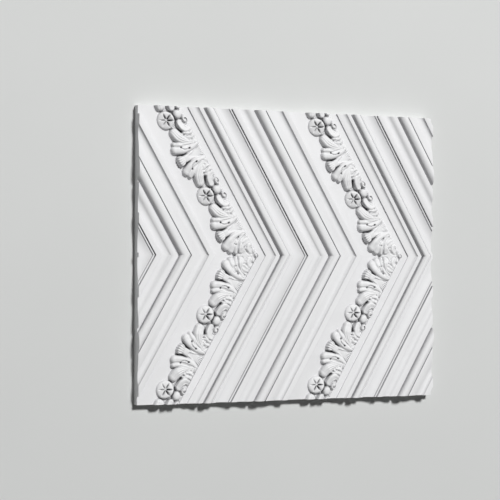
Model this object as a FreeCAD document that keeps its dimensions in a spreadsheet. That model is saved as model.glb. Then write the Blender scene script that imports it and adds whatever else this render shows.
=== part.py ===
import FreeCAD, Part
import math
import os
import Sketcher

# One moulded wall panel: chevron mouldings that meet on a mitre along the middle line, and
# a leaf garland on the flat field between them. Millimetres, +Z out of the wall, origin in
# the middle of the flat back, +Y towards the upper edge of the panel.
doc = FreeCAD.newDocument("wall_panel")

# Driving dimensions. Heights are measured up from the field, widths square across an arm.
SIZES = [
    ("chevron_pitch", 225.0, "one chevron to the next, along the middle line"),
    ("chevron_count", 2, "chevrons across the panel, so that panels join without a seam"),
    ("panel_height", 400.0, "height of the panel on the wall"),
    ("arm_angle", 60.0, "angle between an arm and the middle line, degrees"),
    ("field_thickness", 12.5, "from the back to the field"),
    ("pattern_start", 1.8, "left edge to the first broad cove, on the middle line"),
    ("broad_flat", 5.0, "flat at the start of the broad cove"),
    ("broad_cove_width", 10.8, "rising part of the broad cove"),
    ("broad_cove_rise", 3.2, "rise of the broad cove"),
    ("small_bead_radius", 1.2, "bead beside the tall fillet"),
    ("bead_quirk_width", 0.8, "quirk on each side of that bead"),
    ("bead_quirk_height", 1.6, "height of the floors of those quirks"),
    ("tall_fillet_width", 6.8, "fillet beside the small bead"),
    ("fillet_height", 6.5, "height of the two tall fillets"),
    ("low_flat_height", 2.0, "height of the low flats"),
    ("first_low_flat", 6.4, "low flat before the ogee"),
    ("ogee_width", 10.1, "width of the ogee"),
    ("ogee_height", 5.8, "height of the ogee's crest"),
    ("ogee_crest", 4.0, "flat on the ogee's crest"),
    ("groove_height", 0.5, "height of the groove floors"),
    ("wide_groove", 2.9, "groove before the large half-round"),
    ("large_round_radius", 6.8, "radius of the large half-round"),
    ("large_round_height", 9.2, "height of the large half-round"),
    ("quirk_width", 0.6, "quirk after the large half-round"),
    ("ovolo_flat", 1.0, "flat at the top of the ovolo"),
    ("ovolo_width", 11.9, "falling part of the ovolo"),
    ("ovolo_height", 5.5, "height of the ovolo"),
    ("second_low_flat", 3.5, "low flat after the ovolo"),
    ("inner_cove_width", 5.0, "cove under the fillet beside the field"),
    ("field_fillet_width", 7.0, "fillet beside the field"),
    ("step_height", 2.3, "height of the flat on the far side of the field"),
    ("step_width", 7.0, "flat on the far side of the field"),
    ("outer_cove_width", 5.1, "cove after that flat"),
    ("flat_bead_height", 6.0, "height of the flat bead"),
    ("flat_bead_width", 5.1, "width of the flat bead"),
    ("narrow_groove", 2.8, "groove before the small half-round"),
    ("small_round_radius", 4.6, "radius of the small half-round"),
    ("small_round_height", 9.5, "height of the small half-round"),
    ("dip_width", 1.7, "dip after the small half-round"),
    ("dip_height", 4.7, "height of that dip"),
    ("last_fillet_width", 3.9, "last fillet before the next broad cove"),
    ("last_fillet_height", 5.3, "height of the last fillet"),
    ("garland_repeats", 4, "rosettes in the height of the panel"),
    ("rosette_start", 95.1, "middle line to the first rosette, along the arm"),
    ("rosette_across", -4.8, "rosette's centre from the middle of the field"),
    ("rosette_radius", 12.6, "radius of the rosette at the field"),
    ("rosette_rim", 4.6, "height of the rosette's rim"),
    ("rosette_height", 8.2, "height of the rosette"),
    ("rosette_crown", 0.45, "flat on top of the rosette, as a share of its radius"),
    ("rosette_cuts", 6, "cuts between the rosette's petals"),
    ("cut_start", 1.6, "from the rosette's centre to the start of a cut"),
    ("cut_length", 8.6, "length of a cut"),
    ("cut_radius", 1.9, "from a cut's corner to the axis of its three-sided bar"),
    ("cut_lean", 18.0, "slope of a cut towards the rim, degrees"),
    ("berry_across", 14.3, "berry's centre from the middle of the field"),
    ("berry_radius", 5.8, "radius of the berry beside the rosette"),
    ("berry_height", 6.0, "height of the berry"),
    ("berry_crown", 0.55, "flat on top of the berry, as a share of its radius"),
    ("volute_across", 19.4, "volute's centre from the middle of the field"),
    ("volute_along", 11.3, "volute's centre from the rosette, along the arm"),
    ("volute_radius", 5.4, "radius of the volute"),
    ("volute_height", 5.4, "height of the volute's roll"),
    ("volute_roll", 2.2, "width of the volute's roll"),
    ("volute_groove", 1.0, "width of the groove between the roll and the eye"),
    ("volute_depth", 2.0, "depth of that groove"),
    ("eye_height", 6.6, "height of the volute's eye"),
    ("round_sides", 6, "flat sides of the volute and of the berry"),
    ("lobe_lean", 0.62, "how far a lobe's sides lean in at the top, as a share of its narrow end"),
    ("tip_sides", 3, "flat sides round the tip of a lobe"),
    ("fan_along", 57.7, "rosette to the fan's centre, along the arm"),
    ("fan_flutes", 5, "flutes of the fan"),
    ("fan_aim", 8.0, "point where the flutes aim, from the middle of the field"),
    ("flute_spread", 7.2, "angle from one flute to the next, degrees"),
    ("flute_reach", 25.2, "from the point where the flutes aim to their tips' centres"),
]

# Lobes: place of the tip's centre, across and along the arm, the turn of the lobe's axis from
# across, in degrees, the length from there to the root, half the widths there, and the height.
LOBE_SIZES = ("across", "along", "turn", "length", "tip", "root", "height")
LEAF_LOBES = {
    "first_lobe": (-2.0, 21.5, 50.0, 24.0, 7.4, 4.4, 7.6),
    "second_lobe": (-6.5, 33.5, 29.0, 22.0, 5.6, 3.8, 6.8),
    "third_lobe": (-11.6, 41.2, 12.0, 28.0, 7.0, 4.2, 7.4),
    "inner_lobe": (12.0, 14.5, 62.0, 14.0, 5.4, 4.4, 7.0),
    "outer_lobe": (12.5, 29.3, 46.0, 11.0, 5.2, 3.8, 6.6),
}
FAN_LOBES = {
    "flute": (0.0, 0.0, 0.0, 16.0, 2.4, 2.0, 7.0),
    "flare": (6.0, 0.0, 0.0, 17.0, 3.6, 10.5, 5.6),
}
for name, values in list(LEAF_LOBES.items()) + list(FAN_LOBES.items()):
    SIZES += [(name + "_" + key, value, name) for key, value in zip(LOBE_SIZES, values)]

sheet = doc.addObject("Spreadsheet::Sheet", "sizes")
for row, (alias, value, note) in enumerate(SIZES, start=1):
    sheet.set("A%d" % row, note)
    sheet.set("B%d" % row, str(value))
    sheet.setAlias("B%d" % row, alias)
doc.recompute()


def size(alias):
    """The number that the sheet holds under this name."""
    return float(sheet.get(alias))


def tied(*terms):
    """A sum of sheet values: its number now, and the expression that keeps it so."""
    value = sum(share * size(alias) for share, alias in terms)
    return value, " + ".join("%s * sizes.%s" % term for term in terms)


def over_field(*terms):
    """A height over the field, measured from the back."""
    return tied((1, "field_thickness"), *terms)


class SectionPen:
    """Draws the moulding's section from left to right, each stretch tied to the sheet."""

    def __init__(self, name):
        self.sketch = doc.addObject("Sketcher::SketchObject", name)
        self.x = 0.0
        self.y = size("field_thickness")
        self.last = None
        self.before_field = []
        self.after_field = []
        self.widths = self.before_field

    def bind(self, kind, ends, tie):
        value, expression = tie
        index = self.sketch.addConstraint(Sketcher.Constraint(kind, *ends, value))
        self.sketch.setExpression("Constraints[%d]" % index, expression)

    def level(self, end, tie):
        self.bind("DistanceY", (-1, 1) + end, tie)

    def add(self, geometry, begin, end):
        """Adds a stretch and joins it to the one before."""
        index = self.sketch.addGeometry(geometry, False)
        if self.last is None:
            self.first = (index, begin)
        else:
            self.sketch.addConstraint(Sketcher.Constraint("Coincident", *self.last, index, begin))
        self.last = (index, end)
        return index

    def line(self, x, y):
        start = FreeCAD.Vector(self.x, self.y, 0)
        index = self.add(Part.LineSegment(start, FreeCAD.Vector(x, y, 0)), 1, 2)
        self.x, self.y = x, y
        return index

    def flat(self, width):
        """A level stretch of the named width."""
        index = self.line(self.x + size(width), self.y)
        self.sketch.addConstraint(Sketcher.Constraint("Horizontal", index))
        self.bind("DistanceX", (index, 1, index, 2), tied((1, width)))
        self.widths.append((1, width))

    def wall(self, *height):
        """An upright stretch to a height over the field."""
        tie = over_field(*height)
        index = self.line(self.x, tie[0])
        self.sketch.addConstraint(Sketcher.Constraint("Vertical", index))
        self.level((index, 2), tie)

    def curve(self, width, height, level_end, share=1):
        """An arc to a height over the field, level at its first or at its last end."""
        run, run_expression = tied((share, width))
        tie = over_field(*height)
        start, end = (self.x, self.y), (self.x + run, tie[0])
        rise = end[1] - start[1]
        offset = (run * run + rise * rise) / (2 * rise)
        level_x, level_y = start if level_end == "first" else end
        centre_y = level_y + (offset if level_end == "first" else -offset)
        angles = [math.atan2(y - centre_y, x - level_x) for x, y in (start, end)]
        hollow = centre_y > start[1]
        low, high = angles if hollow else reversed(angles)
        centre = FreeCAD.Vector(level_x, centre_y, 0)
        circle = Part.Circle(centre, FreeCAD.Vector(0, 0, 1), abs(offset))
        begin_at, end_at = (1, 2) if hollow else (2, 1)
        index = self.add(Part.ArcOfCircle(circle, low, high), begin_at, end_at)
        level_at = begin_at if level_end == "first" else end_at
        self.sketch.addConstraint(Sketcher.Constraint("Vertical", index, level_at, index, 3))
        self.bind("DistanceX", (index, begin_at, index, end_at), (run, run_expression))
        self.level((index, end_at), tie)
        self.x, self.y = end
        self.widths.append((share, width))

    def half_round(self, radius, *height):
        """A half circle that starts and ends at a height over the field."""
        self.wall(*height)
        centre = FreeCAD.Vector(self.x + size(radius), self.y, 0)
        circle = Part.Circle(centre, FreeCAD.Vector(0, 0, 1), size(radius))
        index = self.add(Part.ArcOfCircle(circle, 0, math.pi), 2, 1)
        self.sketch.addConstraint(Sketcher.Constraint("Horizontal", index, 2, index, 3))
        self.sketch.addConstraint(Sketcher.Constraint("Horizontal", index, 1, index, 3))
        self.bind("Radius", (index,), tied((1, radius)))
        self.x += 2 * size(radius)
        self.widths.append((2, radius))

    def field(self, width):
        """The flat field, which takes what is left of the pitch."""
        index = self.line(self.x + width, self.y)
        self.sketch.addConstraint(Sketcher.Constraint("Horizontal", index))
        self.widths = self.after_field

    def close(self, pitch):
        """Down to the back, along it, and up to the start."""
        index = self.line(self.x, 0)
        self.sketch.addConstraint(Sketcher.Constraint("Vertical", index))
        index = self.line(0, 0)
        self.sketch.addConstraint(Sketcher.Constraint("Horizontal", index))
        self.bind("DistanceX", (index, 2, index, 1), pitch)
        index = self.line(0, size("field_thickness"))
        self.sketch.addConstraint(Sketcher.Constraint("Vertical", index))
        self.sketch.addConstraint(Sketcher.Constraint("Coincident", index, 1, -1, 1))
        self.sketch.addConstraint(Sketcher.Constraint("Coincident", index, 2, *self.first))
        self.level((index, 2), over_field())


PITCH_ACROSS = (
    size("chevron_pitch") * math.sin(math.radians(size("arm_angle"))),
    "sizes.chevron_pitch * sin(sizes.arm_angle)",
)
BESIDE_FIELD = [(1, alias) for alias in (
    "step_width", "outer_cove_width", "flat_bead_width", "narrow_groove", "dip_width",
    "last_fillet_width")] + [(2, "small_round_radius")]


def draw_section():
    """The moulding's section over one pitch, from one broad cove to the next."""
    pen = SectionPen("moulding_section")
    pen.flat("broad_flat")
    pen.curve("broad_cove_width", [(1, "broad_cove_rise")], "first")
    pen.wall((1, "bead_quirk_height"))
    pen.flat("bead_quirk_width")
    pen.half_round("small_bead_radius", (1, "broad_cove_rise"))
    pen.wall((1, "bead_quirk_height"))
    pen.flat("bead_quirk_width")
    pen.wall((1, "fillet_height"))
    pen.flat("tall_fillet_width")
    pen.wall((1, "low_flat_height"))
    pen.flat("first_low_flat")
    pen.curve("ogee_width", [(0.5, "low_flat_height"), (0.5, "ogee_height")], "first", 0.5)
    pen.curve("ogee_width", [(1, "ogee_height")], "last", 0.5)
    pen.flat("ogee_crest")
    pen.wall((1, "groove_height"))
    pen.flat("wide_groove")
    pen.half_round("large_round_radius", (1, "large_round_height"), (-1, "large_round_radius"))
    pen.flat("quirk_width")
    pen.wall((1, "ovolo_height"))
    pen.flat("ovolo_flat")
    pen.curve("ovolo_width", [(1, "low_flat_height")], "first")
    pen.flat("second_low_flat")
    pen.curve("inner_cove_width", [(1, "fillet_height")], "first")
    pen.flat("field_fillet_width")
    pen.wall()
    pen.field(PITCH_ACROSS[0] - pen.x - sum(share * size(alias) for share, alias in BESIDE_FIELD))
    pen.wall((1, "step_height"))
    pen.flat("step_width")
    pen.curve("outer_cove_width", [(1, "flat_bead_height")], "first")
    pen.flat("flat_bead_width")
    pen.wall((1, "groove_height"))
    pen.flat("narrow_groove")
    pen.half_round("small_round_radius", (1, "small_round_height"), (-1, "small_round_radius"))
    pen.wall((1, "dip_height"))
    pen.flat("dip_width")
    pen.wall((1, "last_fillet_height"))
    pen.flat("last_fillet_width")
    pen.close(PITCH_ACROSS)
    return pen


pen = draw_section()
section = pen.sketch
section.Placement = FreeCAD.Placement(
    FreeCAD.Vector(), FreeCAD.Rotation(FreeCAD.Vector(0, 0, 1), 90 - size("arm_angle"))
    * FreeCAD.Rotation(FreeCAD.Vector(1, 0, 0), 90))

# The arms: the section is turned square to the upper arm and drawn out along it, once for
# each chevron that reaches the upper half of the panel.
PANEL_WIDTH = "sizes.chevron_pitch * sizes.chevron_count"
START = "(sizes.pattern_start - %s / 2)" % PANEL_WIDTH
ARM_TURN = "90 - sizes.arm_angle"


def place(item, **expressions):
    """Ties an object's place to the sheet: x, y, z, and its turn about Z."""
    for key, expression in expressions.items():
        path = "Placement.Rotation.Angle" if key == "turn" else "Placement.Base." + key
        item.setExpression("." + path, expression)


def fused(name, items):
    """One solid from several that overlap or share a face."""
    fuse = doc.addObject("Part::MultiFuse", name)
    fuse.Shapes = items
    fuse.Refine = False
    return fuse


def moulding_arm(number):
    """One upper arm of the moulding, long enough to be trimmed to the panel."""
    arm = doc.addObject("Part::Extrusion", "moulding_arm_%d" % (number + 2))
    arm.Base = section
    arm.DirMode = "Normal"
    arm.Solid = True
    arm.Symmetric = True
    arm.setExpression("LengthFwd", "2 * (sizes.panel_height + sizes.chevron_pitch)")
    place(arm, x="%s + %d * sizes.chevron_pitch" % (START, number))
    return arm


def lobe_outline(name, tip, root, length):
    """A flat-sided outline: half a polygon round the tip, two sides, and a straight root.

    Each size is a tie. The corners lie on two construction circles, level with the centres of
    the tip and of the root, so that the sides join them squarely.
    """
    sketch = doc.addObject("Sketcher::SketchObject", name)
    up = FreeCAD.Vector(0, 0, 1)
    ends = ((0.5, 0.0, tip[0], int(size("tip_sides"))), (-0.5, length[0], root[0], 1))
    corners = []
    for start, centre, radius, sides in ends:
        for number in range(sides + 1):
            angle = math.pi * (start + number / sides)
            corners.append(FreeCAD.Vector(
                centre + radius * math.cos(angle), radius * math.sin(angle), 0))
    count = len(corners)
    for number in range(count):
        edge = Part.LineSegment(corners[number], corners[(number + 1) % count])
        sketch.addGeometry(edge, False)
    for start, centre, radius, sides in ends:
        circle = Part.Circle(FreeCAD.Vector(centre, 0, 0), up, radius)
        sketch.addGeometry(circle, True)
    rules = [("Coincident", number, 2, (number + 1) % count, 1) for number in range(count)]
    rules += [("Coincident", count, 3, -1, 1), ("PointOnObject", count + 1, 3, -1)]
    first = 0
    for circle, (start, centre, radius, sides) in enumerate(ends, start=count):
        rules += [("PointOnObject", first + number, 1, circle) for number in range(sides + 1)]
        rules += [("Equal", first, first + number) for number in range(1, sides)]
        rules += [("Vertical", first, 1, circle, 3), ("Vertical", first + sides, 1, circle, 3)]
        first += sides + 1
    for rule in rules:
        sketch.addConstraint(Sketcher.Constraint(*rule))
    measures = (("Radius", (count,), tip), ("Radius", (count + 1,), root),
                ("DistanceX", (-1, 1, count + 1, 3), length))
    for kind, ends, (value, expression) in measures:
        index = sketch.addConstraint(Sketcher.Constraint(kind, *ends, value))
        sketch.setExpression("Constraints[%d]" % index, expression)
    return sketch


def tapered(name, outline, inset, height):
    """A form over an outline that narrows by the inset from its bottom to its top."""
    form = doc.addObject("Part::Extrusion", name)
    form.Base = outline
    form.DirMode = "Custom"
    form.Dir = (0, 0, 1)
    form.Solid = True
    form.setExpression("LengthFwd", height)
    form.setExpression("TaperAngle", "-atan((%s) / (%s))" % (inset, height))
    return form


def lobe(name, number=""):
    """A tapering lobe with leaning sides, laid on the field."""
    keys = {key: "sizes.%s_%s" % (name, key) for key in LOBE_SIZES}
    ties = [(size("%s_%s" % (name, key)), keys[key]) for key in ("tip", "root", "length")]
    outline = lobe_outline("%s_outline%s" % (name, number), *ties)
    inset = "sizes.lobe_lean * min(%s; %s)" % (keys["tip"], keys["root"])
    form = tapered(name + number, outline, inset, keys["height"])
    place(form, turn=keys["turn"], x=keys["across"], y=keys["along"])
    return form


def drum(name, sides, radius, height, **places):
    """A flat-sided drum with upright sides."""
    form = doc.addObject("Part::Prism", name)
    form.setExpression("Polygon", sides)
    form.setExpression("Circumradius", radius)
    form.setExpression("Height", height)
    place(form, **places)
    return form


def crown(name, sides, radius, top, height, **places):
    """A flat-sided form that narrows to a share of its radius at the top."""
    outline = doc.addObject("Part::RegularPolygon", name + "_outline")
    outline.setExpression("Polygon", sides)
    outline.setExpression("Circumradius", radius)
    inset = "%s * (1 - %s) * cos(180 / (%s))" % (radius, top, sides)
    form = tapered(name, outline, inset, height)
    place(form, **places)
    return form


def rosette():
    """A low round flower with a cut between each two of its petals."""
    sides = "2 * sizes.rosette_cuts"
    flower = fused("rosette_flower", [
        drum("rosette_rim", sides, "sizes.rosette_radius", "sizes.rosette_rim"),
        crown("rosette_crown", sides, "sizes.rosette_radius", "sizes.rosette_crown",
              "sizes.rosette_height - sizes.rosette_rim", z="sizes.rosette_rim")])
    cuts = []
    for number in range(int(size("rosette_cuts"))):
        bar = drum("rosette_cut_%d" % (number + 1), "3", "sizes.cut_radius", "sizes.cut_length")
        turn = 360.0 * (number + 0.5) / size("rosette_cuts")
        spin = FreeCAD.Rotation(FreeCAD.Vector(0, 0, 1), turn)
        lean = FreeCAD.Rotation(FreeCAD.Vector(0, 1, 0), 90 + size("cut_lean"))
        middle = FreeCAD.Vector(size("cut_start"), 0, size("rosette_height"))
        bar.Placement = FreeCAD.Placement(spin.multVec(middle), spin * lean)
        cuts.append(bar)
    form = doc.addObject("Part::Cut", "rosette")
    form.Base = flower
    form.Tool = fused("rosette_cuts", cuts)
    place(form, x="sizes.rosette_across")
    return form


def volute():
    """The rolled end of a leaf: a roll, a groove in it, and a raised eye."""
    sides = "sizes.round_sides"
    rim = doc.addObject("Part::Cut", "volute_rim")
    rim.Base = drum("volute_roll", sides, "sizes.volute_radius", "sizes.volute_height")
    rim.Tool = drum(
        "volute_groove", sides, "sizes.volute_radius - sizes.volute_roll",
        "2 * sizes.volute_depth", z="sizes.volute_height - sizes.volute_depth")
    eye = drum("volute_eye", sides, "sizes.volute_radius - sizes.volute_roll - sizes.volute_groove",
               "sizes.eye_height")
    form = fused("volute", [rim, eye])
    place(form, x="sizes.volute_across", y="sizes.volute_along")
    return form


def fan():
    """Flutes that spread from a waist, with a flare on the waist's other side."""
    forms = [lobe("flare")]
    place(forms[0], y="sizes.fan_along")
    for number in range(int(size("fan_flutes"))):
        flute = lobe("flute", "_%d" % (number + 1))
        step = "(%d - (sizes.fan_flutes - 1) / 2)" % number
        turn = "(sizes.flute_turn + %s * sizes.flute_spread)" % step
        place(flute, turn=turn, x="sizes.fan_aim - sizes.flute_reach * cos(%s)" % turn,
              y="sizes.fan_along - sizes.flute_reach * sin(%s)" % turn)
        forms.append(flute)
    return forms


def mirrored(name, item):
    """The same form on the other side of its own XZ plane."""
    mirror = doc.addObject("Part::Mirroring", name)
    mirror.Source = item
    mirror.Normal = (0, 1, 0)
    return mirror


# One repeat of the garland, in its own frame: across the arm, along the arm, out of the wall.
half_leaves = fused("half_leaves", [lobe(name) for name in LEAF_LOBES] + [volute()])
berry = crown("berry", "sizes.round_sides", "sizes.berry_radius", "sizes.berry_crown",
              "sizes.berry_height", x="sizes.berry_across")
garland_repeat = fused("garland_repeat", fan() + [
    berry, rosette(), mirrored("mirrored_leaves", half_leaves), half_leaves])

# The garland follows the middle of the field; the first repeat is cut by the mitre.
left, right = (" + ".join("%s * sizes.%s" % term for term in terms)
               for terms in (pen.before_field, pen.after_field))
AXIS = "(sizes.chevron_pitch + (%s - (%s)) / sin(sizes.arm_angle)) / 2" % (left, right)
REPEAT = "sizes.panel_height / (sizes.garland_repeats * sin(sizes.arm_angle))"


def garland_run(chevron):
    """The garland on the upper arm of a chevron, from the mitre to past the upper edge."""
    copies = []
    for number in range(int(size("garland_repeats")) // 2 + 1):
        copy = doc.addObject("Part::Compound", "garland_%d_%d" % (chevron + 1, number + 1))
        copy.Links = [garland_repeat]
        along = "(sizes.rosette_start + %d * %s)" % (number - 1, REPEAT)
        place(copy, turn=ARM_TURN,
              x="%s + %s + %d * sizes.chevron_pitch - %s * cos(sizes.arm_angle)"
              % (START, AXIS, chevron, along),
              y="%s * sin(sizes.arm_angle)" % along, z="sizes.field_thickness")
        copies.append(copy)
    return fused("garland_run_%d" % (chevron + 1), copies)


def trimmed(name, item):
    """What of a form lies within the upper half of the panel."""
    outline = doc.addObject("Part::Box", name + "_outline")
    outline.setExpression("Length", PANEL_WIDTH)
    outline.setExpression("Width", "sizes.panel_height / 2")
    outline.setExpression("Height", "sizes.field_thickness + 2 * sizes.small_round_height")
    place(outline, x="-%s / 2" % PANEL_WIDTH)
    common = doc.addObject("Part::MultiCommon", name)
    common.Shapes = [item, outline]
    return common


chevrons = int(size("chevron_count"))
arms = fused("moulding_arms", [moulding_arm(number) for number in range(-1, chevrons + 1)])
mouldings = trimmed("upper_mouldings", arms)
mouldings.Refine = True
garlands = [trimmed("upper_garland_%d" % (number + 1), garland_run(number))
            for number in range(chevrons)]
upper_half = fused("upper_half", [mouldings] + garlands)
wall_panel = fused("wall_panel", [upper_half, mirrored("lower_half", upper_half)])
wall_panel.Label = "wall_panel"
doc.recompute()

for item in doc.Objects:
    if "Invalid" in item.State or "Error" in item.State:
        raise RuntimeError("%s did not recompute: %s" % (item.Label, item.State))
    if hasattr(item, "Shape") and (item.Shape.isNull() or not item.Shape.isValid()):
        raise RuntimeError("%s has no sound shape" % item.Label)
if len(wall_panel.Shape.Solids) != 1:
    raise RuntimeError("the panel isn't one solid")
if garland_repeat.Shape.Volume < 2 * half_leaves.Shape.Volume:
    raise RuntimeError("a form is missing from the garland")

os.makedirs("parts", exist_ok=True)
wall_panel.Shape.exportStep("parts/%s.step" % wall_panel.Label)
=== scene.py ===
import math

import bpy
import numpy as np
from mathutils import Matrix, Vector


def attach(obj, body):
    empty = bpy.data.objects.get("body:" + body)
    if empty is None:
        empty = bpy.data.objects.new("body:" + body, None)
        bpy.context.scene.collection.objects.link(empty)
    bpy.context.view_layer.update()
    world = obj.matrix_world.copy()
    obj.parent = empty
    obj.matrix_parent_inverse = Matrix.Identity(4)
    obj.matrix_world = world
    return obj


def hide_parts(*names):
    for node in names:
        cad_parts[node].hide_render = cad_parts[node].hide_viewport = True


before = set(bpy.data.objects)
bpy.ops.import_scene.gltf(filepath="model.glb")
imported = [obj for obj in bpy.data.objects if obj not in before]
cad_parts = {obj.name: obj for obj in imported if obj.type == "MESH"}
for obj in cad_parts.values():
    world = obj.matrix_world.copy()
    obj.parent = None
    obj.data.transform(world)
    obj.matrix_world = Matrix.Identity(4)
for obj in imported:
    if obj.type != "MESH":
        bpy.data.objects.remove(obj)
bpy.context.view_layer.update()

# A moulded wall panel: chevron mouldings that meet on a mitre along the middle line, and a
# carved leaf garland on the flat field between them. It lies on its back, +Z out of its face,
# +Y towards the edge that is uppermost on the wall. Lengths are in millimetres until they
# reach a mesh. The camera's and the lamp's places and the lengths in materials are in metres.
MM = 0.001

# The panel, and the section of its mouldings over one pitch. Heights of the section are over
# the flat field.
PITCH = 225.0
CHEVRONS = 2
PANEL_WIDTH = PITCH * CHEVRONS
PANEL_HEIGHT = 400.0
ARM_ANGLE = 60.0
ARM_TURN = math.radians(90 - ARM_ANGLE)
ARM_SINE = math.sin(math.radians(ARM_ANGLE))
ARM_DRAWN = 1400.0       # long enough to reach past the panel before it is trimmed
PITCH_ACROSS = PITCH * ARM_SINE
FIELD = 12.5             # the panel's thickness at the field
PATTERN_START = 1.8      # where the first pitch starts, from the panel's left edge
ARRIS = 0.35             # how far a softened edge is cut back
SHARP = math.radians(35)     # edges that turn by more than this are softened

# Widths of the members to the right of the field.
STEP, COVE, BEAD, GROOVE = 7.0, 5.1, 5.1, 2.8
SMALL_ROUND = 4.6        # its radius
DIP, LAST_FILLET = 1.7, 3.9
RIGHT_MEMBERS = STEP + COVE + BEAD + GROOVE + 2 * SMALL_ROUND + DIP + LAST_FILLET

# The garland: half a repeat is carved on a grid, then copied along each arm.
HALVES_IN_HEIGHT = 8     # over both arms
HALF_REPEAT = PANEL_HEIGHT / ARM_SINE / HALVES_IN_HEIGHT
FIRST_ROSETTE = 95.1     # along the arm, from the mitre
SUNK = -0.5              # the grid where it has no form, under the field
SEAM_WIDTH = 0.7
GRID_WIDTH = 50.0
GRID_FROM = -24.5        # the grid's left edge, from the garland's middle line
GRID_STEP = 0.38
EMBEDDED = 1.2           # how far the garland's foot reaches down under the field

# How close points are before they are joined, in metres.
WELD = 1e-6
CLOSING_WELD = 2e-6
COPIES_WELD = 1e-5


def activate(piece):
    """Makes a piece the active one, and the only one that is selected."""
    bpy.ops.object.select_all(action="DESELECT")
    piece.select_set(True)
    bpy.context.view_layer.objects.active = piece


def edit(piece, mode="EDGE"):
    """Opens a piece in edit mode with nothing selected."""
    activate(piece)
    bpy.ops.object.mode_set(mode="EDIT")
    bpy.ops.mesh.select_mode(type=mode)
    bpy.ops.mesh.select_all(action="DESELECT")


def done():
    bpy.ops.object.mode_set(mode="OBJECT")


def edit_where(piece, mode, wanted):
    """Opens a piece in edit mode with the edges or faces selected that are wanted."""
    edit(piece, mode)
    done()
    for item in piece.data.edges if mode == "EDGE" else piece.data.polygons:
        item.select = wanted(item)
    bpy.ops.object.mode_set(mode="EDIT")


def weld(distance):
    """In edit mode: joins points that lie together, and turns every face outwards."""
    bpy.ops.mesh.select_all(action="SELECT")
    bpy.ops.mesh.remove_doubles(threshold=distance)
    bpy.ops.mesh.normals_make_consistent(inside=False)


def apply(piece, modifier):
    activate(piece)
    bpy.ops.object.modifier_apply(modifier=modifier.name)


def copy_of(piece, name):
    """A copy with its own mesh."""
    copy = piece.copy()
    copy.data = piece.data.copy()
    copy.name = copy.data.name = name
    bpy.context.scene.collection.objects.link(copy)
    return copy


def flip(piece):
    """Mirrors a piece along the arm or the panel's height, about its origin."""
    piece.data.transform(Matrix.Scale(-1, 4, (0, 1, 0)))
    piece.data.flip_normals()


def joined(pieces, name):
    activate(pieces[0])
    for piece in pieces:
        piece.select_set(True)
    bpy.ops.object.join()
    pieces[0].name = pieces[0].data.name = name
    return pieces[0]


def cut(piece, point, normal):
    """Cuts away what lies on the far side of a plane."""
    edit(piece)
    bpy.ops.mesh.select_all(action="SELECT")
    bpy.ops.mesh.bisect(
        plane_co=Vector(point) * MM, plane_no=normal, clear_outer=True, threshold=WELD)
    done()


def cut_to_upper_half(piece):
    """Cuts a piece off at the mitre and at the panel's upper edge."""
    cut(piece, (0, 0, 0), (0, -1, 0))
    cut(piece, (0, PANEL_HEIGHT / 2, 0), (0, 1, 0))


def close_down(piece, height):
    """Draws the open edges of a skin down to a height and closes it there."""
    edit(piece)
    weld(CLOSING_WELD)
    bpy.ops.mesh.select_all(action="DESELECT")
    bpy.ops.mesh.select_non_manifold(
        extend=False, use_wire=False, use_boundary=True, use_multi_face=False,
        use_non_contiguous=False, use_verts=False)
    bpy.ops.mesh.extrude_region_move(TRANSFORM_OT_translate={"value": (0, 0, 0)})
    bpy.ops.transform.resize(value=(1, 1, 0), center_override=(0, 0, height * MM))
    bpy.ops.mesh.remove_doubles(threshold=CLOSING_WELD)
    bpy.ops.mesh.fill(use_beauty=False)
    bpy.ops.mesh.select_all(action="SELECT")
    bpy.ops.mesh.normals_make_consistent(inside=False)
    done()


class SectionPen:
    """Draws the mouldings out of one edge, stretch by stretch across the arm."""

    def __init__(self, first_flat, length):
        self.x, self.z = first_flat, 0.0
        bpy.ops.mesh.primitive_plane_add(size=1, location=(first_flat / 2 * MM, 0, FIELD * MM))
        self.piece = bpy.context.object
        edit(self.piece)
        bpy.ops.mesh.select_all(action="SELECT")
        bpy.ops.transform.resize(value=(first_flat * MM, length * MM, 1))
        done()
        mesh = self.piece.data
        edit_where(self.piece, "EDGE", lambda edge: all(
            mesh.vertices[number].co.x > 0 for number in edge.vertices))

    def to(self, x, z):
        """A straight stretch to a place across the arm and a height over the field."""
        move = Vector((x - self.x, 0, z - self.z)) * MM
        bpy.ops.mesh.extrude_region_move(TRANSFORM_OT_translate={"value": move})
        self.x, self.z = x, z

    def flat(self, width):
        self.to(self.x + width, self.z)

    def wall(self, height):
        if abs(height - self.z) > 1e-6:
            self.to(self.x, height)

    def fillet(self, height, width):
        """A wall to a height, and a flat there."""
        self.wall(height)
        self.flat(width)

    def arc(self, centre_x, centre_z, turn, steps):
        """A round stretch about an axis that runs along the arm."""
        bpy.ops.mesh.spin(
            steps=steps, angle=-turn, center=(centre_x * MM, 0, (FIELD + centre_z) * MM),
            axis=(0, 1, 0))
        across, up = self.x - centre_x, self.z - centre_z
        self.x = centre_x + across * math.cos(turn) + up * math.sin(turn)
        self.z = centre_z - across * math.sin(turn) + up * math.cos(turn)

    def curve(self, width, height, level_first, steps=10):
        """An arc over a width to a height, level at its first or at its last end."""
        rise = height - self.z
        offset = (width * width + rise * rise) / (2 * rise)
        turn = math.asin(width / abs(offset)) * (1 if rise < 0 else -1)
        if level_first:
            self.arc(self.x, self.z + offset, turn, steps)
        else:
            self.arc(self.x + width, height - offset, -turn, steps)

    def half_round(self, radius, height, steps=24):
        """A half circle whose crown has the given height."""
        self.wall(height - radius)
        self.arc(self.x + radius, self.z, math.pi, steps)


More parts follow.
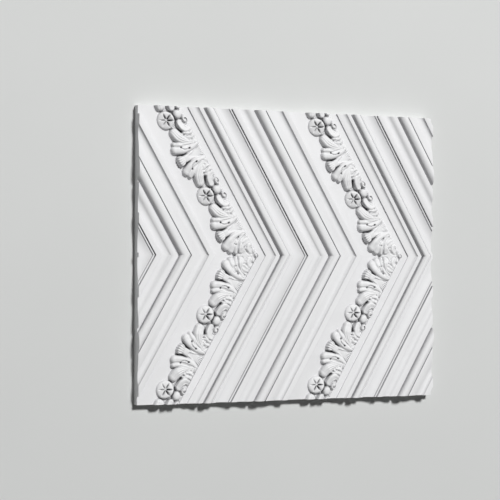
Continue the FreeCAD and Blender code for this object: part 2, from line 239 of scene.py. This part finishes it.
def draw_mouldings():
    """The mouldings of one pitch, across in X from 0 and along the arm in Y.

    Also gives the place across where the field starts.
    """
    pen = SectionPen(5.0, ARM_DRAWN)
    # broad cove
    pen.curve(10.8, 3.2, True)
    # small bead between its two quirks
    pen.fillet(1.6, 0.8)
    pen.half_round(1.2, 4.4, 12)
    pen.fillet(1.6, 0.8)
    # tall fillet and low flat
    pen.fillet(6.5, 6.8)
    pen.fillet(2.0, 6.4)
    # ogee, with its own flat
    pen.curve(5.05, 3.9, True, 8)
    pen.curve(5.05, 5.8, False, 8)
    pen.flat(4.0)
    # groove and large half-round
    pen.fillet(0.5, 2.9)
    pen.half_round(6.8, 9.2)
    pen.flat(0.6)
    # ovolo
    pen.fillet(5.5, 1.0)
    pen.curve(11.9, 2.0, True, 12)
    pen.flat(3.5)
    # cove and fillet
    pen.curve(5.0, 6.5, True, 8)
    pen.flat(7.0)
    # the field
    pen.wall(0.0)
    field_from = pen.x
    pen.to(PITCH_ACROSS - RIGHT_MEMBERS, 0.0)
    # low step, cove and flat bead
    pen.fillet(2.3, STEP)
    pen.curve(COVE, 6.0, True, 8)
    pen.flat(BEAD)
    # groove and small half-round
    pen.fillet(0.5, GROOVE)
    pen.half_round(SMALL_ROUND, 9.5)
    # dip and last fillet
    pen.fillet(4.7, DIP)
    pen.fillet(5.3, LAST_FILLET)
    pen.wall(0.0)
    done()
    return pen.piece, field_from


def soften_arrises(piece):
    """Rounds the sharp edges that run along the arm."""
    normals_at = {}
    for face in piece.data.polygons:
        for key in face.edge_keys:
            normals_at.setdefault(key, []).append(face.normal.copy())

    def sharp(edge):
        normals = normals_at.get(edge.key, [])
        return len(normals) == 2 and normals[0].angle(normals[1]) > SHARP

    edit_where(piece, "EDGE", sharp)
    bpy.ops.mesh.bevel(offset=ARRIS * MM, segments=3, profile=0.5, clamp_overlap=True)
    done()


def make_mouldings():
    """The panel's body: both arms of every chevron, trimmed, mirrored and closed.

    Also gives the place across an arm where the field starts.
    """
    body, field_from = draw_mouldings()
    body.name = body.data.name = "mouldings"
    activate(body)
    bpy.ops.object.transform_apply(location=True, rotation=True, scale=True)
    edit(body)
    weld(WELD)
    done()
    soften_arrises(body)
    # every pitch beside the last, with one more past either edge, turned to run along the arm
    repeat = body.modifiers.new("pitches", "ARRAY")
    repeat.use_relative_offset = False
    repeat.use_constant_offset = True
    repeat.constant_offset_displace = (PITCH_ACROSS * MM, 0, 0)
    repeat.count = CHEVRONS + 2
    repeat.use_merge_vertices = True
    repeat.merge_threshold = COPIES_WELD
    apply(body, repeat)
    body.data.transform(
        Matrix.Translation(Vector((PATTERN_START - PANEL_WIDTH / 2 - PITCH, 0, 0)) * MM)
        @ Matrix.Rotation(ARM_TURN, 4, "Z"))
    cut_to_upper_half(body)
    cut(body, (-PANEL_WIDTH / 2, 0, 0), (-1, 0, 0))
    cut(body, (PANEL_WIDTH / 2, 0, 0), (1, 0, 0))
    mirror = body.modifiers.new("lower half", "MIRROR")
    mirror.use_axis = (False, True, False)
    mirror.merge_threshold = COPIES_WELD
    apply(body, mirror)
    close_down(body, 0.0)
    return body, field_from


def flow(points, count=110):
    """Points along a smooth curve through a few given ones."""
    points = np.array(points, float)
    ends = np.vstack([2 * points[0] - points[1], points, 2 * points[-1] - points[-2]])
    spans = len(points) - 1
    places = np.linspace(0, spans, count)
    span = np.minimum(places.astype(int), spans - 1)
    share = (places - span)[:, None]
    a, b, c, d = (ends[span + number] for number in range(4))
    return 0.5 * (2 * b + (c - a) * share + (2 * a - 5 * b + 4 * c - d) * share ** 2
                  + (3 * b - a - 3 * c + d) * share ** 3)


def crown(out, power, fullness=0.5):
    """A form's height as a share of its top: flat in its middle, nothing from its edge on."""
    return (1 - np.clip(out, 0, 1) ** power) ** fullness


def hill(x, y, wide, long):
    """A soft rise round a place."""
    return np.exp(-(x / wide) ** 2 - (y / long) ** 2)


class Carving:
    """Heights over the field on the points of a grid, cut and built up form by form.

    Places are across the arm, from the garland's middle line, and along it, from the middle
    of the rosette. Where a method works with out, that is the distance from a form's middle
    as a share of the way to its edge.
    """

    def __init__(self, across, along):
        self.across = across
        self.along = along
        self.height = np.full(across.shape, SUNK)

    def beside(self, spine, widths):
        """Distance from a spine in half widths, side, place along it, and half width there."""
        line = flow(spine)
        place = np.linspace(0, 1, len(line))
        half = np.interp(place, np.linspace(0, 1, len(widths)), widths)
        heading = np.gradient(line, axis=0)
        heading /= np.linalg.norm(heading, axis=1)[:, None]
        gap_across = self.across[:, None] - line[None, :, 0]
        gap_along = self.along[:, None] - line[None, :, 1]
        ratio = np.hypot(gap_across, gap_along) / half
        nearest = ratio.argmin(axis=1)
        rows = np.arange(len(nearest))
        side = (heading[nearest, 0] * gap_along[rows, nearest]
                - heading[nearest, 1] * gap_across[rows, nearest]) / half[nearest]
        return ratio[rows, nearest], side, place[nearest], half[nearest]

    def lay(self, form, out, half, seam):
        """Lays a form over what is there, with a seam cut round it."""
        around = (out >= 1) & (self.height > 0)
        gap = ((out - 1) * half)[around]
        self.height[around] -= seam * np.exp(-(gap / SEAM_WIDTH) ** 2)
        inside = out < 1
        self.height[inside] = np.maximum(self.height[inside], form[inside])

    def lobe(self, spine, widths, tops, fullness=0.5, seam=1.0, veins=(), tilt=0.0, power=3.0):
        """A crowned lobe of a leaf, with veins: side and width in half widths, and depth."""
        out, side, place, half = self.beside(spine, widths)
        top = np.interp(place, np.linspace(0, 1, len(tops)), tops)
        form = top * crown(out, power, fullness) * (1 + tilt * side)
        for offset, depth, width in veins:
            # a vein fades out towards both ends of its lobe
            fade = np.sin(np.pi * np.clip(0.08 + 0.9 * place, 0, 1)) ** 0.5
            form -= depth * fade * np.exp(-((side - offset) / width) ** 2)
        self.lay(form, out, half, seam)

    def ground(self, spine, widths, tops, fullness=0.3, power=3.0):
        """A low form without a seam, which others grow from."""
        self.lobe(spine, widths, tops, fullness, seam=0, power=power)

    def groove(self, spine, widths, depth):
        """A cut along a spine, where there is a form."""
        out = self.beside(spine, widths)[0]
        self.height -= depth * np.clip(1 - out ** 2, 0, 1) * (self.height > 0)

    def ball(self, across, along, radius, top, stretch, seam=0.8):
        """A berry, longer along the arm than across where it is stretched."""
        out = np.hypot(self.across - across, (self.along - along) / stretch) / radius
        self.lay(top * crown(out, 3.4), out, radius, seam)

    def eye(self, across, along, radius, depth):
        """A drilled eye between two lobes."""
        out = np.hypot(self.across - across, self.along - along) / radius
        self.height -= depth * np.exp(-out ** 4) * (self.height > 0)

    def rosette(self, across, radius, middle, lean):
        """A low flower that leans to one side: a disc, its petals parted by narrow cuts."""
        x, y = self.across - across, self.along
        narrow, long = 0.93, 1.03
        out = np.hypot(x / narrow, y / long) / radius
        form = (middle + lean * x - 0.5 * np.clip(out, 0, 1) ** 2) * crown(out, 10)
        # six cuts, deeper and wider on the high side, from beside the middle to the rim
        from_middle = out * radius
        petal = np.abs(np.sin(3 * (np.arctan2(y, x) + math.pi / 6)))
        gap = from_middle * np.abs(np.sin(np.arcsin(petal) / 3))
        reach = np.clip((from_middle - 0.6) / 2.0, 0, 1) * np.clip((0.86 - out) / 0.4, 0, 1)
        high_side = 0.78 + 0.22 * np.tanh(x / 2.5)
        depth = 5.4 * high_side * reach ** 0.7
        form -= depth * np.clip(1 - gap / (0.35 + high_side * reach), 0, 1)
        # the right petal swells up past a hollow
        form += 1.5 * hill(x - 7.8, y, 2.2, 4.0)
        form -= 1.5 * hill(x - 2.4, y, 1.1, 2.4)
        self.height[out < 1] = SUNK
        self.lay(form, out, radius, 1.5)

    def shell(self, across, along):
        """The swollen end of a fan, its rim scalloped by notches between the flutes."""
        x, y = self.across - across, self.along - along
        half_length, half_width, corner = 5.2, 8.2, 2.6
        flutes, spread_from, half_spread = 5, 21.2, 0.34
        turn = np.arctan2(y, spread_from - x) / half_spread
        notch = 1 - np.abs(np.cos(flutes / 2 * math.pi * turn)) ** 0.7
        out = (np.abs(x / half_length) ** corner + np.abs(y / half_width) ** corner)
        out = out ** (1 / corner) * (1 + 0.08 * notch)
        form = 8.3 * crown(out, 8) - 3.0 * notch * np.clip(out, 0, 1)
        self.lay(form, out, half_length, 0.6)

    def volute(self, across, along, wide, long, top):
        """A rolled leaf end: a raised spiral roll round an eye."""
        x = (self.across - across) / wide
        y = (self.along - along) / long
        out = np.hypot(x, y)
        turns, start = 1.25, 0.6
        turn = (np.arctan2(y, x) + start) / (2 * math.pi)
        gap = np.abs((out * turns - turn) % 1.0 - 0.5) * wide / turns
        form = top * crown(out, 6) - 0.9 * out ** 2
        form -= 3.8 * np.exp(-(gap / 0.52) ** 2) * np.clip(out / 0.4, 0, 1)
        # the forms under it are cut down first, so that the spiral stays open
        self.height[out < 1] = np.minimum(self.height[out < 1], 4.2)
        self.lay(form, out, wide, 2.1)

    def run_out(self, edge, width):
        """Brings everything down to the field at one side, and leaves nothing beyond."""
        share = np.clip((edge - self.across) / width, 0, 1)
        fade = (share * share * (3 - 2 * share)) ** 0.6
        standing = self.height > 0
        self.height[standing] *= fade[standing]
        self.height[share == 0] = SUNK


def carve_leaf(leaf):
    """The rest of a whole leaf: two more lobes, and the smaller leaf beyond its stem."""
    # second lobe
    leaf.lobe([(-10.2, 33.6), (-4.8, 36.8), (3.5, 40.4), (14, 43.0)], [3.6, 3.9, 3.2, 2.2],
              [5.8, 7.4, 7.4, 6.8], seam=1.3, power=2.6)
    # first lobe
    leaf.lobe([(-2.0, 20.0), (0.2, 28.0), (6.0, 35.4), (15, 40.4), (22, 42.4)],
              [6.8, 7.8, 6.2, 4.0, 2.8], [6.6, 8.4, 8.2, 7.4, 6.6], seam=1.3, power=3.0,
              veins=[(-0.42, 1.0, 0.11), (-0.05, 0.9, 0.10), (0.35, 0.9, 0.10)])
    # the smaller leaf: its serrated edge, then its lobes
    for across_tip, along_tip in ((9.0, 26.4), (9.6, 30.6)):
        leaf.lobe([(across_tip, along_tip), (across_tip + 5.0, along_tip - 0.6)], [2.6, 2.2],
                  [7.6, 7.8], seam=0.7, power=3)
    for across_tip, along_tip in ((12.4, 37.2), (17.0, 38.2)):
        leaf.lobe([(across_tip, along_tip), (across_tip + 1.0, along_tip - 4)], [2.5, 2.0],
                  [7.4, 7.2], seam=0.9, power=3)
    leaf.lobe([(11.0, 33.8), (15.0, 35.4), (19.5, 34.4), (24, 30.6)], [2.6, 3.2, 3.4, 3.2],
              [7.6, 8.0, 7.8, 6.8], seam=1.1, power=2.6)
    leaf.lobe([(11.4, 24.4), (14.0, 28.6), (18.5, 29.6), (24, 27.0)], [3.6, 3.8, 3.4, 3.0],
              [7.8, 8.2, 8.0, 6.8], seam=1.2, power=2.8)
    leaf.lobe([(11.2, 11.6), (12.0, 18.6), (15.6, 23.0), (23, 22.6)], [5.4, 5.6, 4.2, 3.4],
              [6.6, 7.8, 7.8, 6.8], seam=1.2, power=7, tilt=0.12, veins=[(-0.3, 0.7, 0.13)])
    # eyes between the lobes, and the cut from one to the other
    leaf.eye(-4.0, 41.4, 1.1, 1.6)
    leaf.eye(6.0, 47.4, 1.3, 2.2)
    leaf.groove([(-4.0, 41.4), (-3.0, 44.4), (0.6, 46.9), (6.0, 47.4)], [0.9, 0.9, 0.9], 2.0)


def carve_leaf_at_mitre(leaf):
    """The same lobes drawn together, so that their tips end on the mitre."""
    # the ground between the lobes and the smaller leaf, and along the mitre
    leaf.ground([(7.6, 22.0), (9.4, 27.0), (10.4, 34.0)], [4.6, 5.4, 5.0], [5.8, 6.8, 6.8])
    leaf.ground([(-3.0, 24.0), (4.0, 19.4), (10.0, 16.0), (16.0, 12.0)], [3.0, 4.4, 5.0, 5.0],
                [3.6, 5.4, 6.0, 6.0], fullness=0.2)
    # the bulge under the third lobe
    leaf.lobe([(-8.8, 33.4), (-4.6, 37.6), (2.5, 42.0)], [5.2, 4.8, 3.8], [6.4, 7.8, 7.8],
              seam=0.7, power=2.8)
    # second lobe
    leaf.lobe([(-4.2, 27.6), (-1.0, 33.5), (4.5, 38.8), (16.8, 43.0)], [3.4, 3.6, 3.2, 2.4],
              [6.6, 7.8, 7.8, 7.0], seam=1.4, power=2.8)
    # first lobe
    leaf.lobe([(2.8, 25.6), (4.6, 29.4), (8.0, 33.6), (12.5, 36.8), (22, 39.0)],
              [4.3, 4.8, 4.4, 3.6, 2.8], [6.8, 8.4, 8.2, 7.6, 6.6], seam=1.4, power=3.0,
              veins=[(-0.35, 0.9, 0.12), (0.1, 0.9, 0.12)])
    # the smaller leaf: two lobes, a curl, and two lobes by the stem
    leaf.lobe([(12.6, 34.2), (17.5, 34.4), (24, 31.0)], [3.2, 3.4, 3.2], [7.6, 7.8, 6.8],
              seam=1.3, power=2.8)
    leaf.lobe([(11.6, 29.6), (16.5, 30.4), (24, 27.4)], [3.0, 3.4, 3.2], [7.6, 8.0, 6.8],
              seam=1.2, power=2.8)
    leaf.ball(10.8, 25.4, 1.9, 7.2, 1.2)
    leaf.lobe([(14.6, 18.4), (14.0, 22.8), (17.4, 25.8), (24, 23.6)], [4.0, 4.4, 3.8, 3.2],
              [6.8, 8.0, 7.8, 6.8], seam=1.3, power=4, tilt=0.1, veins=[(-0.3, 0.8, 0.14)])
    leaf.lobe([(18.6, 14.0), (19.6, 17.6), (24, 18.6)], [3.2, 3.2, 2.8], [6.8, 7.4, 6.8],
              seam=1.0, power=3)
    # eyes between the lobes, and the cut from one to the other
    leaf.eye(0.8, 36.8, 1.0, 0.8)
    leaf.eye(9.0, 44.6, 1.2, 1.4)
    leaf.groove([(0.8, 36.8), (-1.6, 39.4), (2.6, 43.2), (9.0, 44.6)], [0.9, 0.9, 0.9], 1.5)


def carve_half_repeat(across, along, at_mitre):
    """Half a repeat of the garland, from the middle of a rosette to the middle of a fan.

    At the mitre the leaves close up, and the volutes of both arms meet in one.
    """
    leaf = Carving(across, along)
    middle = HALF_REPEAT
    # the fan: a flare, the flutes of its shell, and fine lines that spread over the flare
    leaf.ground([(-8, middle), (4, middle), (14, middle), (26, middle)], [5.4, 6.0, 7.2, 12.0],
                [7.4, 6.9, 6.4, 6.2], power=5)
    leaf.shell(-12.2, middle)
    for number in range(-3, 4):
        spread = 0.115 * number
        line = [(place, middle + spread * by) for place, by in ((0, 4), (12, 12), (24, 27))]
        leaf.groove(line, [0.3, 0.8, 1.1], 1.8)
    # the floor of the gap between the leaves
    leaf.ground([(1.0, 3), (5.0, 12), (6.0, 22)], [6.0, 5.5, 4.0], [0.4, 0.4, 0.4],
                fullness=0.05)
    # the stem, and the leaf's ground, which the lobes grow from
    leaf.ground([(20.0, -8), (20.0, 0), (20, 8), (19, 20)], [6.6, 6.4, 7.0, 7.0],
                [4.6, 4.6, 4.8, 4.4])
    leaf.ground([(20, 6), (19, 22), (16, 34), (6, 43)], [7.0, 8.0, 8.0, 5.0],
                [4.4, 6.0, 6.4, 6.0])
    # third lobe, beside the fan
    leaf.lobe([(-11.6, 41.2), (-4, 45.2), (8, 47.4), (18, 45.2), (24, 40.5)],
              [6.7, 6.4, 5.5, 5.4, 4.5], [6.4, 8.0, 8.0, 7.4, 6.6], seam=0.9, tilt=0.04,
              power=2.8)
    if at_mitre:
        carve_leaf_at_mitre(leaf)
    else:
        carve_leaf(leaf)
    leaf.run_out(24.2, 4.6)
    # the berry, the volute and the rosette lie over the rest
    leaf.ball(14.0, 0, 6.4, 7.8, 1.12)
    if at_mitre:
        leaf.volute(19.9, 9.0, 4.2, 4.6, 8.0)
    else:
        leaf.volute(19.4, 11.2, 4.6, 6.6, 8.0)
    leaf.rosette(-4.3, 12.6, 5.9, 0.27)
    return leaf.height


def sanded(height, rounds=2):
    """Takes the steps out of a carved grid, by averages along it and across it in turn."""
    for _ in range(2 * rounds):
        wide = np.pad(height, ((0, 0), (1, 1)), mode="reflect")
        height = ((wide[:, :-2] + 2 * wide[:, 1:-1] + wide[:, 2:]) / 4).T
    return height


def make_half_repeat(at_mitre):
    """A grid over half a repeat, moved up to the carving; what stays under the field goes."""
    columns = round(GRID_WIDTH / GRID_STEP)
    rows = round(HALF_REPEAT / GRID_STEP)
    bpy.ops.mesh.primitive_grid_add(
        x_subdivisions=columns, y_subdivisions=rows, size=1, location=(0, 0, 0))
    unit = bpy.context.object
    unit.name = "garland_half_repeat"
    mesh = unit.data
    places = np.empty(len(mesh.vertices) * 3)
    mesh.vertices.foreach_get("co", places)
    places = places.reshape(-1, 3)
    across = GRID_FROM + (places[:, 0] + 0.5) * GRID_WIDTH
    along = (places[:, 1] + 0.5) * HALF_REPEAT
    height = carve_half_repeat(across, along, at_mitre).reshape(rows + 1, columns + 1)
    height = sanded(height).ravel()
    places = np.stack([across, along, FIELD + height], axis=1) * MM
    mesh.vertices.foreach_set("co", places.ravel())
    mesh.update()
    floor = (FIELD + SUNK * 0.9) * MM
    edit_where(unit, "FACE", lambda face: all(
        mesh.vertices[number].co.z < floor for number in face.vertices))
    bpy.ops.mesh.delete(type="FACE")
    done()
    return unit


def make_garland(unit, mitre_unit, field_from):
    """The garland on the first upper arm: half repeats, each the mirror of the one before."""
    field_to = PITCH_ACROSS - RIGHT_MEMBERS
    axis = PATTERN_START - PANEL_WIDTH / 2 + (field_from + field_to) / 2 / ARM_SINE
    to_arm = Matrix.Translation(Vector((axis, 0, 0)) * MM) @ Matrix.Rotation(ARM_TURN, 4, "Z")
    # the first half lies across the mitre, and the last across the panel's upper edge
    first, last = -2, 2
    halves = []
    for number in range(first, last + 1):
        repeat, mirrored = divmod(number, 2)
        rosette = FIRST_ROSETTE + 2 * HALF_REPEAT * (repeat + mirrored)
        name = "garland_half_%d" % (number - first + 1)
        half = copy_of(mitre_unit if number == first else unit, name)
        if mirrored:
            flip(half)
        half.data.transform(to_arm @ Matrix.Translation(Vector((0, rosette, 0)) * MM))
        halves.append(half)
    garland = joined(halves, "garland")
    cut_to_upper_half(garland)
    close_down(garland, FIELD - EMBEDDED)
    return garland


def garland_copy(garland, chevron, side):
    """The garland on another arm: moved on by whole pitches, mirrored on a lower arm."""
    copy = copy_of(garland, "garland_%s_%d" % (side, chevron + 1))
    copy.data.transform(Matrix.Translation(Vector((PITCH * chevron, 0, 0)) * MM))
    if side == "lower":
        flip(copy)
    return copy


class Value:
    """A socket of a material that Python's arithmetic works on."""

    def __init__(self, maker, socket):
        self.maker = maker
        self.socket = socket

    def _math(self, operation, *values):
        return self.maker.node("ShaderNodeMath", {"operation": operation}, *values)

    def __add__(self, other):
        return self._math("ADD", self, other)

    __radd__ = __add__

    def __mul__(self, other):
        return self._math("MULTIPLY", self, other)

    __rmul__ = __mul__

    def __sub__(self, other):
        return self._math("SUBTRACT", self, other)

    def __rsub__(self, other):
        return self._math("SUBTRACT", other, self)


class Finish:
    """A material whose nodes are made one line at a time."""

    def __init__(self, name):
        self.material = bpy.data.materials.new(name)
        self.material.use_nodes = True
        self.tree = self.material.node_tree
        self.shader = self.tree.nodes["Principled BSDF"]

    def put(self, socket, value):
        """Links a value to a socket, or sets the socket to a number or a colour."""
        if isinstance(value, Value):
            self.tree.links.new(value.socket, socket)
        elif value is not None:
            socket.default_value = value

    def surface(self, name, value):
        self.put(self.shader.inputs[name], value)

    def node(self, kind, settings=(), *values, output=0, **named):
        node = self.tree.nodes.new(kind)
        for key, setting in dict(settings).items():
            setattr(node, key, setting)
        for socket, value in zip(node.inputs, values):
            self.put(socket, value)
        for key, value in named.items():
            self.put(node.inputs[key], value)
        return Value(self, node.outputs[output])

    def noise(self, place, scale, detail):
        return self.node("ShaderNodeTexNoise", Vector=place, Scale=scale, Detail=detail)

    def open_share(self, reach):
        """How far a point stands open: 0 in a closed corner, 1 where nothing is in reach."""
        return self.node(
            "ShaderNodeAmbientOcclusion", {"samples": 8}, Distance=reach, output=1)

    def between(self, share, first, second):
        """A colour mixed from two."""
        node = self.tree.nodes.new("ShaderNodeMix")
        node.data_type = "RGBA"
        self.put(node.inputs["Factor"], share)
        self.put(node.inputs[6], first)
        self.put(node.inputs[7], second)
        return Value(self, node.outputs[2])

    def ranged(self, value, low, high, to_low=0.0, to_high=1.0):
        return self.node(
            "ShaderNodeMapRange", {"clamp": True}, value, low, high, to_low, to_high)


def primed_finish(name, painted_shade, closed, opened, reach):
    """Smooth moulded polymer under a white primer: faint mottle, fine grain, satin to matte,
    and painted shade.

    Its colour takes a grey painted shade on low ground that stands closed in within a wide
    reach, and turns to the painted_shade colour where the share that stands open within reach
    falls from opened to closed.
    """
    finish = Finish(name)
    place = finish.node("ShaderNodeTexCoord", output="Object")
    mottle = finish.noise(place, 22.0, 4.0)
    grain = finish.noise(place, 900.0, 2.0)
    waves = finish.noise(place, 160.0, 3.0)
    darker, lighter = (0.815, 0.816, 0.821, 1), (0.845, 0.846, 0.852, 1)
    # painted shade: a grey laid over low ground that stands closed in within a wide reach, and
    # that reach
    painted_low_shade, low_shade_reach = (0.73, 0.73, 0.74, 1), 0.05
    coat_and_shade = finish.between(finish.ranged(mottle, 0.35, 0.65), darker, lighter)
    coat_and_shade = finish.between(
        finish.ranged(finish.open_share(low_shade_reach), 0.62, 0.94), painted_low_shade, coat_and_shade)
    # painted shade in narrow hollows, where little stands open within reach
    coat_and_shade = finish.between(
        finish.ranged(finish.open_share(reach), closed, opened), painted_shade, coat_and_shade)
    finish.surface("Base Color", coat_and_shade)
    finish.surface("Roughness", finish.ranged(mottle + 0.35 * grain, 0.45, 0.95, 0.46, 0.60))
    finish.surface("Normal", finish.node(
        "ShaderNodeBump", Strength=0.12, Distance=0.0004, Height=0.25 * grain + waves))
    finish.surface("Specular IOR Level", 0.35)
    return finish.material


def floor_finish():
    finish = Finish("pale floor")
    mottle = finish.noise(finish.node("ShaderNodeTexCoord", output="Object"), 3.0, 4.0)
    finish.surface("Base Color", finish.between(
        finish.ranged(mottle, 0.3, 0.7), (0.66, 0.67, 0.66, 1), (0.68, 0.69, 0.68, 1)))
    finish.surface("Roughness", 0.8)
    return finish.material


def area_lamp(name, place, size, power):
    """A round lamp that is turned to the panel's middle."""
    lamp = bpy.data.lights.new(name, "AREA")
    lamp.shape = "DISK"
    lamp.size = size
    lamp.energy = power
    item = bpy.data.objects.new(name, lamp)
    item.location = place
    item.rotation_euler = (-Vector(place)).to_track_quat("-Z", "Y").to_euler()
    bpy.context.scene.collection.objects.link(item)


def make_camera():
    """The photograph's viewing angle: from the left, straight at the panel's height."""
    photo_width, focal_length = 500, 1504.8      # in pixels
    camera = bpy.data.cameras.new("camera")
    camera.sensor_width = 36.0
    camera.lens = camera.sensor_width * focal_length / photo_width
    camera.clip_end = 20.0
    item = bpy.data.objects.new("camera", camera)
    turn = Matrix.Identity(4)
    for degrees, axis in ((-23.65, "Y"), (0.68, "X"), (0.13, "Z")):
        turn = turn @ Matrix.Rotation(math.radians(degrees), 4, axis)
    item.matrix_world = Matrix.Translation((-0.891, -0.017, 1.907)) @ turn
    bpy.context.scene.collection.objects.link(item)
    bpy.context.scene.camera = item


def make_world(dim):
    """White where the camera, a reflection or a see-through piece looks at it, else dim."""
    world = bpy.data.worlds.new("studio")
    bpy.context.scene.world = world
    world.use_nodes = True
    nodes, links = world.node_tree.nodes, world.node_tree.links
    path = nodes.new("ShaderNodeLightPath")
    seen = path.outputs["Is Camera Ray"]
    for ray in ("Is Glossy Ray", "Is Transmission Ray"):
        either = nodes.new("ShaderNodeMath")
        either.operation = "MAXIMUM"
        links.new(seen, either.inputs[0])
        links.new(path.outputs[ray], either.inputs[1])
        seen = either.outputs[0]
    strength = nodes.new("ShaderNodeMapRange")
    strength.inputs["To Min"].default_value = dim
    strength.inputs["To Max"].default_value = 1.0
    links.new(seen, strength.inputs["Value"])
    background = nodes["Background"]
    links.new(strength.outputs["Result"], background.inputs["Strength"])
    background.inputs["Color"].default_value = (1, 1, 1, 1)


make_camera()
bpy.context.scene.view_settings.view_transform = "Standard"

# Both finishes paint shade into the colour of narrow hollows: grey on the mouldings, near
# black in the carving.
white = primed_finish("white primer", (0.40, 0.40, 0.41, 1), 0.02, 0.44, 0.006)
carved_white = primed_finish(
    "white primer in the carving", (0.10, 0.10, 0.105, 1), 0.28, 0.67, 0.0045)

mouldings, field_from = make_mouldings()
unit = make_half_repeat(False)
mitre_unit = make_half_repeat(True)
garland = make_garland(unit, mitre_unit, field_from)
garlands = [garland_copy(garland, chevron, side)
            for chevron in range(CHEVRONS) for side in ("upper", "lower")]
for pattern in (unit, mitre_unit, garland):
    bpy.data.objects.remove(pattern)

for piece in [mouldings] + garlands:
    finish, smooth_to = (white, 32) if piece == mouldings else (carved_white, 60)
    piece.data.materials.append(finish)
    activate(piece)
    bpy.ops.object.shade_smooth_by_angle(angle=math.radians(smooth_to))
    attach(piece, "root")
    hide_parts("wall_panel")

# The floor that the panel lies on, and the studio's light.
bpy.ops.mesh.primitive_plane_add(size=12, location=(0, 0, 0))
floor = bpy.context.object
floor.name = "floor"
floor.data.materials.append(floor_finish())

area_lamp("key lamp", (1.28, 3.96, 6.83), 1.4, 645)
make_world(0.04)
